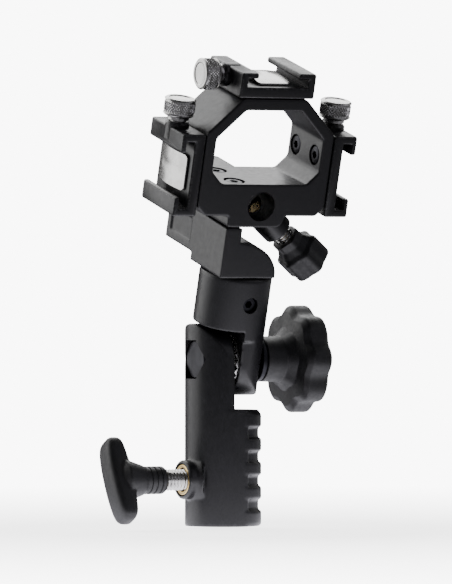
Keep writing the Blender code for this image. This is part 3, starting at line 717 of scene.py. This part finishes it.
def stand_handle_moulding():
    """The T handle: a swelling bar on a flared stem, moulded in one."""
    stations = [HANDLE_HALF * math.sin(math.pi / 2 * step / 30) for step in range(-30, 31)]
    # The tips stop just short, so that the end sections aren't points
    stations[0], stations[-1] = -HANDLE_HALF * 0.9995, HANDLE_HALF * 0.9995
    bar = skin("stand_handle_moulding", [bar_section(up) for up in stations])
    stem = lathe("stem", [(-33.0, 4.0, 0), (-31.2, 6.0, 0), (-29.4, 5.5, 1.0), (-25.6, 4.25, 1.2),
                          (-25.2, 3.9, 0), (-19.4, 3.9, 0), (-18.6, 3.3, 0)], 64)
    grooves = []
    for x in (-24.0, -22.4, -20.8):
        section = [(x - 0.35, 3.65, 0), (x + 0.35, 3.65, 0),
                   (x + 0.45, 4.6, 0), (x - 0.45, 4.6, 0)]
        grooves.append(tube("groove", section))
    handle = cast(bar, [stem], grain=0.28, soften=4, keep=0.5)
    return machine(handle, [*grooves, rod("screw_hole", M6_BORE, -27.8, -15)])


def stand_lock_pieces():
    """The T handle, its screw, the bush that it turns in and the pad at its tip."""
    turn = Matrix.Rotation(math.radians(HANDLE_TURN), 4, "X")
    piece(stand_handle_moulding(), STAND_LOCK @ turn, "plastic", "stand_lock_handle")
    low, high = span("stand_lock_screw", STAND_LOCK)
    screw = threaded("stand_screw_thread", low.x, high.x, high.y, 1.0, 0.5, plain=2.5)
    # The thread starts at the pad, and the screw's plain end is in the handle
    flip = moved(low.x + high.x, 0, 0) @ Matrix.Rotation(math.pi, 4, "Z")
    piece(screw, STAND_LOCK @ flip, "steel", "stand_lock_screw")
    low, high = span("stand_lock_insert", STAND_LOCK)
    insert = bush("stand_insert_bush", low, high, M6_BORE, (0.15, 0.25))
    piece(insert, STAND_LOCK, "brass", "stand_lock_insert")
    low, high = span("stand_pad", STAND_LOCK)
    button = [(low.x, high.y - 0.3, 0), (low.x + 0.3, high.y, 0.1),
              (high.x - 0.4, high.y, 0.1), (high.x, high.y - 0.5, 0)]
    piece(lathe("stand_pad_button", button, 48), STAND_LOCK, "brass", "stand_pad")


# --- tilt joint

def tooth_ring(name, node, local, outward):
    """A ring of radial teeth, deeper towards its rim, whose ridges point along x by outward."""
    low, high = span(node, local)
    inner, outer = 5.4, 8.8
    back, tips = (low.x, high.x) if outward > 0 else (high.x, low.x)
    height = 0.75

    def face(share):
        def height_at(angle):
            ridge = min(1.0, 1.15 * saw(angle * TEETH / (2 * math.pi)))
            return (tips - outward * height * (1 - ridge) * share
                    - outward * height * 0.3 * (1 - share))
        return height_at

    sides = TEETH * 8
    rings = [ring_points(inner, back, sides), ring_points(outer, back, sides)]
    rings.append(ring_points(outer, tips - outward, sides))
    for share in (1.0, 0.9, 0.8, 0.7):
        radius = inner + 0.25 + (outer - 0.1 - inner - 0.25) * (share - 0.7) / 0.3
        rings.append(ring_points(radius, face(share), sides))
    rings.append(ring_points(inner, tips - outward * 0.9, sides))
    return skin(name, rings, smooth_angle=25.0, loop=True)


def hexagon_head(name, radius, low, high, bevel_side):
    """A hexagon whose corners are turned off at one end, as on a bolt head or a nut."""
    body = rod(name, radius, low, high, sides=6)
    if bevel_side < 0:
        cone = [(low, radius * 0.86, 0), (low + 0.8, radius * 1.03, 0), (high, radius * 1.03, 0)]
    else:
        cone = [(low, radius * 1.03, 0), (high - 0.8, radius * 1.03, 0), (high, radius * 0.86, 0)]
    return trimmed(body, lathe(name + "_turning", cone, 96), "INTERSECT")


def tilt_pieces():
    """The bolt, the two toothed rings, the spring that parts them and the washer."""
    low, high = span("tilt_bolt", TILT)
    head = hexagon_head("tilt_bolt_forged", 5.8, low.x, -6.3, -1)
    shank = lathe("shank", [(-7.0, 3.0, 0), (high.x - 0.5, 3.0, 0), (high.x, 2.5, 0)], 64)
    piece(machined(head, [shank]), TILT, "black_steel", "tilt_bolt")
    for side, local, outward in (("lower", TILT, 1), ("upper", HEAD, -1)):
        node = side + "_tooth_ring"
        piece(tooth_ring(side + "_teeth_ring", node, local, outward), local, "steel", node)

    low, high = span("release_spring", TILT)
    wire, coil, turns = 0.45, 4.2, 4
    first, last = low.x + wire, high.x - wire
    steps = turns * 28
    path = []
    for step in range(steps + 1):
        share = step / steps
        angle = 2 * math.pi * turns * share
        # The coils lie closer at the two ends
        ease = share - 0.06 * math.sin(2 * math.pi * share)
        path.append((first + (last - first) * ease, coil * math.cos(angle), coil * math.sin(angle)))
    piece(sweep("release_spring_coil", path, wire, 10), TILT, "steel", "release_spring")

    low, high = span("tilt_washer", TILT)
    washer = bush("tilt_washer_turned", low, high, M6_BORE, (0.1, 0.3), 80)
    piece(washer, TILT, "black_steel", "tilt_washer")


def grip_rings(corners, depth, full_radius, lobes, sides, sharp=1.0):
    """Rings of a grip with broad lobes and hollows, which fade where its section turns in."""
    rings = []
    for x, radius in rounded(corners, closed=False):
        share = max(0.0, min(1.0, (radius / full_radius - 0.45) / 0.5))

        def radius_at(angle, radius=radius, share=share):
            hollow = (1 - math.cos(lobes * angle)) / 2
            return radius - depth * share * hollow ** sharp

        rings.append(ring_points(radius_at, x, sides))
    return rings


def tilt_knob_pieces():
    """The hollow lobed knob, with the cap in its face and the nut inside."""
    lobes, full = 8, 15.0
    sides = lobes * 24
    outside = [(11.3, 5.9, 0), (11.5, 6.3, 0.15), (17.2, 6.5, 0.8), (19.4, 9.0, 0.8),
               (19.9, 13.1, 0.9), (21.2, full, 1.1), (26.4, full, 1.4), (28.0, 12.4, 0.9),
               (28.0, 9.75, 0)]
    rings = grip_rings(outside, 1.6, full, lobes, sides, 1.25)
    inside = [(27.55, 9.3), (26.0, 9.3), (26.0, 6.2), (18.0, 6.2), (18.0, M6_BORE), (11.3, M6_BORE)]
    rings += [ring_points(radius, x, sides) for x, radius in inside]
    piece(skin("tilt_knob_moulding", rings, loop=True), TILT, "plastic", "tilt_knob")

    low, high = span("tilt_knob_cap", TILT)
    face = high.x
    cap_corners = [(low.x, 8.9, 0), (face - 0.75, 8.9, 0.3), (face - 0.25, 8.2, 0.35),
                   (face - 0.25, 6.4, 0.2), (face - 0.65, 6.1, 0.2), (face - 0.65, 5.5, 0.2),
                   (face - 0.2, 5.1, 0.3), (face, 1.2, 0)]
    piece(lathe("tilt_knob_cap_moulding", cap_corners, 96), TILT, "plastic", "tilt_knob_cap")

    low, high = span("tilt_knob_nut", TILT)
    nut = hexagon_head("tilt_nut_turned", 5.75, low.x, high.x, 1)
    nut = machined(nut, [], [rod("nut_bore", M6_BORE, low.x - 2, high.x + 2)])
    piece(nut, TILT, "brass", "tilt_knob_nut")


# --- head

def tilt_head_casting():
    """The block above the tilt joint, with the upper ear that hangs from it."""
    top, ear_left, ear_right = 26.0, 0.3, 9.3
    block_corners = [(8.0, HEAD_RADIUS, 0), (top, HEAD_RADIUS, 1.0), (top, 3.0, 0)]
    block = lathe("tilt_head_casting", block_corners, 120, 5)
    block.data.transform(moved(HEAD_MIDDLE, 0, 0) @ UPRIGHT)
    ear_outline = arc((0, 0), (EAR_RADIUS, EAR_RADIUS), 180, 360, 40) + [(9.0, 14.0), (-9.0, 14.0)]
    ear = prism("ear", ear_outline, ear_left, ear_right, "x")
    flush = rod("flush", HEAD_RADIUS, -20.0, 20.0, "z", (HEAD_MIDDLE, 0, 0), sides=120)
    ear = trimmed(ear, flush, "INTERSECT")
    room = box("ear_room", (-12, -15, -15), (ear_left, 15, 10.7))
    far_room = box("far_room", (ear_right, -15, -15), (15, 15, 10.7))
    head = cast(block, [ear], [room, far_room])
    return machine(head, [
        rod("bolt_hole", M6_BORE, -3, 12),
        rod("tooth_pocket", TOOTH_POCKET, -3, 2.3, sides=96),
        rod("spring_pocket", SPRING_POCKET, 2, 3.4, sides=72),
        rod("washer_seat", WASHER_SEAT, 9.1, 12, sides=96),
        rod("tenon_hole", 5.0, 15, 30, "z", TENON_PLACE, sides=72),
        rod("set_screw_hole", M4_BORE, -12, -1, "y", SET_SCREW_PLACE)])


def neck_casting():
    """The neck: a foot with a curved hump, a post on its left and a web under the sleeve."""
    right, top = -4.8, 40.6
    hump = arc((right, NECK_FOOT + 0.6), (12.2, 9.5), 90, 0, 20)
    outline = [(NECK_LEFT, NECK_FOOT), (NECK_LEFT, top), (right, top)] + hump + [(7.4, NECK_FOOT)]
    front = prism("neck_casting", outline, -FRAME_HALF_DEPTH, 8.0)
    web = box("web", (NECK_LEFT, 7.0, 28.6), (right, SLEEVE_REAR, top))
    gusset = box("gusset", (NECK_LEFT, 6.0, NECK_FOOT), (right + 0.8, 9.2, 33.0))
    tenon = rod("tenon", 4.7, 15.8, NECK_FOOT + 2, "z", TENON_PLACE, sides=64)
    panel = box("web_panel", (NECK_LEFT - 0.5, 11.0, 31.2), (NECK_LEFT + 0.55, 23.0, 38.0))
    other = box("web_panel_inner", (right - 0.55, 11.0, 31.2), (right + 0.5, 23.0, 38.0))
    neck = cast(front, [web, gusset, tenon], [panel, other])
    return machine(neck, [rod("screw_hole", M3_BORE, 31, 45, "z", (NECK_SCREW_X, y, 0))
                          for y in NECK_SCREW_Y])


def shoe_frame_casting():
    """The octagonal frame that carries the shoes, with the umbrella sleeve under its floor."""
    half, wall = 16.6, 3.2
    outer = frame_outline(half + wall, 44.2, 77.4, 2.5, 8 + wall * (2 - math.sqrt(2)), 1.2)
    inner = frame_outline(half, 53.2, 74.2, 3.5, 8.0, 1.6)
    frame_body = prism("shoe_frame_casting", outer, -FRAME_HALF_DEPTH, FRAME_HALF_DEPTH)
    window = prism("window", inner, -15, 15)
    hub_corners = [(NECK_LEFT, HUB_BOTTOM, 0.8), (7.0, HUB_BOTTOM, 2.5), (8.0, 45.2, 1.0),
                   (8.0, 51.5, 0), (NECK_LEFT, 51.5, 0)]
    hub = prism("hub", rounded(hub_corners), -FRAME_HALF_DEPTH, FRAME_HALF_DEPTH)
    sleeve_corners = [(NECK_LEFT, HUB_BOTTOM, 0.8), (5.5, HUB_BOTTOM, 3.2),
                      (5.5, 52.0, 3.2), (NECK_LEFT, 52.0, 3.2)]
    sleeve = prism("sleeve", rounded(sleeve_corners, 5), 5.0, SLEEVE_REAR)
    aim = Matrix.Rotation(math.radians(UMBRELLA_LOCK_TURN), 4, "Y")
    boss = rod("boss", 4.4, 2.0, 15.0, "x", UMBRELLA_CENTRE, 64, aim)
    body = cast(trimmed(frame_body, window), [hub, sleeve, boss], keep=0.36)
    cutters = [rod("umbrella_bore", 4.15, -20, 40, "y", UMBRELLA_CENTRE, sides=96),
               rod("pad_hole", M5_BORE, 0, 12, "x", UMBRELLA_CENTRE, turn=aim),
               rod("insert_hole", 3.6, 9.2, 20, "x", UMBRELLA_CENTRE, turn=aim)]
    for y in NECK_SCREW_Y:
        cutters.append(rod("neck_screw_hole", M3_BORE, 35, 51, "z", (NECK_SCREW_X, y, 0)))
        cutters.append(rod("neck_screw_seat", 3.05, 50.4, 60, "z", (NECK_SCREW_X, y, 0)))
    for shoe in SHOES:
        for tag in ("front", "rear"):
            seat = rod("shoe_screw_seat", 2.9, 1.5, 6.0)
            seat.data.transform(HEAD.inverted() @ inward_at(shoe, tag))
            cutters.append(seat)
    return machine(body, cutters)


def socket_screw(name, head, shank, thread_start, key):
    """A socket-head screw along x: (radius, low, high) of head and shank, threaded at its tip."""
    head_radius, head_low, head_high = head
    shank_radius, shank_low, shank_high = shank
    plain = shank_high - thread_start
    rings = threaded("thread", shank_low, shank_high, shank_radius, 0.6, 0.22, 32, plain)
    corners = [(head_low, head_radius - 0.1, 0), (head_low + 0.15, head_radius, 0.08),
               (head_high - 0.35, head_radius, 0.3), (head_high, head_radius - 0.55, 0)]
    top = lathe(name, corners)
    hexagon = rod("hex_key", key, head_high - 1.0, head_high + 1, sides=6)
    return machined(top, [rings], [hexagon], 38.0)


def head_pieces():
    piece(tilt_head_casting(), HEAD, "casting", "tilt_head")
    piece(neck_casting(), HEAD, "casting", "neck")
    piece(shoe_frame_casting(), HEAD, "casting", "shoe_frame")
    for tag, y in zip(("front", "rear"), NECK_SCREW_Y):
        screw = socket_screw("neck_screw_turned_" + tag, (2.75, 50.7, 53.0), (1.5, 32.0, 51.0),
                             44.0, 1.3)
        upward = HEAD @ along((0, 0, 1), (NECK_SCREW_X, y, 0.0))
        piece(screw, upward, "black_steel", "neck_screw_" + tag)
    stub = threaded("neck_set_screw_turned", 4.0, 8.7, 2.0, 0.6, 0.22, 40)
    hexagon = rod("hex_key", 1.1, 6.9, 9.5, sides=6)
    stub = machined(stub, [], [hexagon], 40.0)
    piece(stub, HEAD @ along((0, -1, 0), SET_SCREW_PLACE), "black_steel", "neck_set_screw")


def umbrella_lock_pieces():
    """The umbrella's lock: a screw with its lobed knob, its bush and its pad."""
    low, high = span("umbrella_lock_screw", UMBRELLA_LOCK)
    screw = threaded("umbrella_screw_thread", low.x, high.x, high.y, 0.8, 0.4, plain=4.0)
    piece(screw, UMBRELLA_LOCK, "steel", "umbrella_lock_screw")
    low, high = span("umbrella_lock_insert", UMBRELLA_LOCK)
    insert = bush("umbrella_insert_bush", low, high, M5_BORE, (0.12, 0.2))
    piece(insert, UMBRELLA_LOCK, "brass", "umbrella_lock_insert")
    low, high = span("umbrella_pad", UMBRELLA_LOCK)
    button = [(low.x, high.y - 0.5, 0), (low.x + 0.5, high.y, 0.2), (high.x, high.y, 0)]
    piece(lathe("umbrella_pad_button", button, 48), UMBRELLA_LOCK, "brass", "umbrella_pad")

    full, lobes = 6.6, 6
    outside = [(18.0, 3.4, 0), (18.3, 4.2, 0.25), (20.7, 4.2, 0.9), (22.6, 5.4, 0.7),
               (23.6, full, 0.9), (30.0, full, 1.0), (31.0, 5.2, 0.7), (31.0, 0.6, 0)]
    knob = skin("umbrella_knob_moulding", grip_rings(outside, 0.95, full, lobes, lobes * 28))
    bore = rod("screw_hole", M5_BORE, 10.0, 28.3)
    recess = rod("recess", 3.0, 30.55, 32, sides=72)
    piece(machine(knob, [bore, recess]), UMBRELLA_LOCK, "plastic", "umbrella_lock_knob")


# --- cold shoes

SHOE_SCREW_RISE = moved(0, 0, SHOE_SCREW_LEVEL)


def shoe_body(name, shift):
    """A milled shoe: two lips over a channel, and a boss. Its fixing screws are off the middle."""
    half, half_length, half_channel, half_opening = 11.6, 10.0, 9.4, 6.3
    floor, ceiling, height = 3.1, 5.4, 7.1
    right = [(half, 0), (half, height), (half_opening, height), (half_opening, ceiling),
             (half_channel, ceiling), (half_channel, floor)]
    section = right + [(-x, z) for x, z in reversed(right)]
    body = broken_edges(prism(name, section, -half_length, half_length), 0.6)
    boss = lathe("boss", [(8.0, 3.3, 0), (12.4, 3.3, 0), (13.0, 2.8, 0)])
    boss.data.transform(SHOE_SCREW_RISE)
    inner = box("channel_room", (-half_channel, -12, floor), (half_channel, 12, ceiling))
    cuts = [inner, rod("screw_hole", M4_BORE, 8, 20, centre=(0, 0, SHOE_SCREW_LEVEL))]
    for side in (-1, 1):
        for end in (-1, 1):
            lead_in = [(end * 10.8, ceiling - 0.5), (end * 9.0, ceiling - 0.5),
                       (end * 9.0, ceiling), (end * 10.8, ceiling + 0.9)]
            low_side, high_side = sorted((side * half_channel, side * 6.0))
            cuts.append(prism("lead_in", lead_in, low_side, high_side, "x"))
        middle = side * half_channel
        cuts.append(box("underside_relief", (middle - 1.2, -7.5, -1), (middle + 1.2, 7.5, 0.5)))
    for place in (-5.6, 5.6):
        cuts.append(rod("fixing_hole", M3_BORE, -2, 2.6, "z", (shift, place, 0)))
    return machined(body, [boss], cuts)


def leaf_spring(name):
    """A bowed strip of spring steel with rounded ends and a pressed rib along its middle."""
    thick, bow, half_x, half_y = 0.4, 0.9, 5.0, 7.5
    columns, rows = 26, 40
    floor = 3.4
    ends = 0.16
    shape = bmesh.new()
    layers = []
    for layer in (0, 1):
        grid = []
        for row in range(rows + 1):
            share_y = 2 * row / rows - 1
            corner = max(0.0, abs(share_y) - (1 - ends)) / ends
            width = half_x * (1 - 0.16 * corner ** 2.2)
            line = []
            for column in range(columns + 1):
                share_x = 2 * column / columns - 1
                fade = max(0.0, 1 - (share_y * 1.25) ** 4)
                rib = 0.2 * math.exp(-(share_x * 3.4) ** 2) * fade
                height = max(floor + bow * (1 - share_y ** 2) + thick * layer - rib, floor)
                line.append(shape.verts.new((share_x * width, share_y * half_y, height)))
            grid.append(line)
        layers.append(grid)
    for row in range(rows):
        for column in range(columns):
            for grid in layers:
                shape.faces.new((grid[row][column], grid[row + 1][column],
                                 grid[row + 1][column + 1], grid[row][column + 1]))
    rim = [(0, column) for column in range(columns)] + [(row, columns) for row in range(rows)]
    rim += [(rows, column) for column in range(columns, 0, -1)]
    rim += [(row, 0) for row in range(rows, 0, -1)]
    bridge(shape, *([grid[row][column] for row, column in rim] for grid in layers))
    bmesh.ops.recalc_face_normals(shape, faces=shape.faces)
    return new_object(name, shape, 40.0)


def shoe_pieces(shoe):
    """One shoe with its leaf spring, its thumbscrew and pad, and its two fixing screws."""
    seat = SHOE_FRAMES[shoe]
    at_screw = seat @ SHOE_SCREW_RISE
    low, high = span(shoe + "_screw_front", seat)
    shift = (low.x + high.x) / 2
    piece(shoe_body(shoe + "_milled", shift), seat, "shoe_metal", shoe)
    piece(leaf_spring(shoe + "_leaf"), seat, "steel", shoe + "_spring")

    low, high = span(shoe + "_pad", seat)
    button = [(low.x, 1.5, 0), (low.x + 0.3, 1.9, 0.2), (high.x, 1.9, 0)]
    piece(lathe(shoe + "_pad_button", button, 40), at_screw, "nylon", shoe + "_pad")

    stem = threaded("stem", 10.8, 14.0, 2.0, 0.7, 0.3, 40, 0.6)
    corners = [(13.5, 3.0, 0), (14.4, 3.0, 0.15), (14.55, 3.9, 0.15), (15.0, 4.4, 0.2),
               (19.1, 4.4, 0.2), (19.5, 3.9, 0.15), (19.5, 3.2, 0.1), (19.25, 3.0, 0.1),
               (19.25, 0.6, 0)]
    head = knurled(shoe + "_thumbscrew_turned", corners, (15.25, 18.85), 34, 0.34)
    piece(machined(head, [stem], [], 38.0), at_screw, "steel", shoe + "_thumbscrew")

    for tag in ("front", "rear"):
        low, high = span(shoe + "_screw_" + tag, seat)
        screw = socket_screw(shoe + "_screw_turned_" + tag, (2.6, -low.z - 1.6, -low.z),
                             (1.5, -high.z, -low.z - 1.0), -high.z + 6.0, 1.2)
        piece(screw, inward_at(shoe, tag), "black_steel", shoe + "_screw_" + tag)


# --- stage

def aimed(name, data, target, way, distance):
    """A light or a camera that looks at its target from one way."""
    holder = add_object(name, data)
    holder.location = target + way * distance
    holder.rotation_euler = (-way).to_track_quat("-Z", "Y").to_euler()
    return holder


def area_light(name, target, direction, distance, size, power, colour):
    """A soft rectangular light that the camera doesn't see."""
    light = bpy.data.lights.new(name, "AREA")
    light.shape = "RECTANGLE"
    light.size, light.size_y = size
    light.energy = power
    light.color = colour
    way = Vector(direction).normalized()
    aimed(name, light, target, way, distance).visible_camera = False


def mix_shaders(tree, factor, first, second):
    links = [(0, factor), (1, first.outputs[0]), (2, second.outputs[0])]
    return add_node(tree, "MixShader", (), links)


def camera_split(tree, reflected, seen):
    """What the camera sees, and something else for every other ray."""
    return mix_shaders(tree, add_node(tree, "LightPath").outputs["Is Camera Ray"], reflected, seen)


def world_light():
    """White behind the object, and a dimmer white all round for what the surfaces reflect."""
    world = bpy.data.worlds.new("studio")
    world.use_nodes = True
    bpy.context.scene.world = world
    tree = world.node_tree
    tree.nodes.clear()
    white = ("Color", (*WHITE, 1.0))
    seen = add_node(tree, "Background", [white, ("Strength", ROOM_WHITE)])
    soft = add_node(tree, "Background", [white, ("Strength", ROOM_REFLECTED)])
    add_node(tree, "OutputWorld", (), [("Surface", camera_split(tree, soft, seen).outputs[0])])


def pale_floor(low, centre):
    """A pale floor just under the object, which fades into the white of the room."""
    level = low.z - FLOOR_GAP
    rim = arc((centre.x, centre.y), (FLOOR_RADIUS, FLOOR_RADIUS), 0, 360, 96)[:-1]
    mesh = bpy.data.meshes.new("studio_floor")
    mesh.from_pydata([(x, y, level) for x, y in rim], [], [range(len(rim))])
    floor = add_object("studio_floor", mesh)
    material, tree, shader = node_material(
        "pale_paper", ("Roughness", 0.85), ("Emission Color", (*WHITE, 1.0)),
        ("Emission Strength", 3.2))
    coordinates = add_node(tree, "TexCoord").outputs["Object"]
    grain = noise(tree, coordinates, 900.0)
    paper = blend_colours(tree, grain, (0.86, 0.86, 0.86), (0.9, 0.9, 0.9))
    tree.links.new(paper, shader.inputs["Base Color"])
    under = (centre.x, centre.y, level)
    away = add_node(tree, "VectorMath", [(1, under)], [(0, coordinates)],
                    operation="DISTANCE").outputs["Value"]
    white = add_node(tree, "Emission", [("Strength", ROOM_WHITE)])
    seen = mix_shaders(tree, remap(tree, away, 0.06, FLOOR_RADIUS * 0.7), shader, white)
    # What the object's surfaces reflect is a bright patch below it and a dimmer room around
    bounce = add_node(tree, "Emission", [("Color", (0.94, 0.93, 1.0, 1.0))],
                      [("Strength", remap(tree, away, 0.03, 0.13, 3.0, 0.3))])
    output = next(node for node in tree.nodes if node.type == "OUTPUT_MATERIAL")
    tree.links.new(camera_split(tree, bounce, seen).outputs[0], output.inputs["Surface"])
    mesh.materials.append(material)
    floor.visible_diffuse = False
    return floor


def aim_camera(target):
    """The scene's camera, turned from the front by its azimuth. A negative one is from the left."""
    camera = bpy.data.cameras.new("camera")
    camera.lens = CAMERA_LENS
    camera.sensor_width = 36.0
    camera.clip_start = 0.01
    turn, rise = math.radians(CAMERA_AZIMUTH), math.radians(CAMERA_ELEVATION)
    back = Vector((math.sin(turn) * math.cos(rise), -math.cos(turn) * math.cos(rise),
                   math.sin(rise)))
    bpy.context.scene.camera = aimed("camera", camera, target, back, CAMERA_DISTANCE)


def main():
    piece(lower_body_casting(), WORLD, "casting", "lower_body")
    stand_lock_pieces()
    tilt_pieces()
    tilt_knob_pieces()
    head_pieces()
    umbrella_lock_pieces()
    for shoe in SHOES:
        shoe_pieces(shoe)

    low, high = cad_bounds
    centre = (low + high) / 2
    aim_camera(centre)
    pale_floor(low, centre)
    world_light()
    for name, values in LIGHTS.items():
        area_light(name, centre, *values)


main()
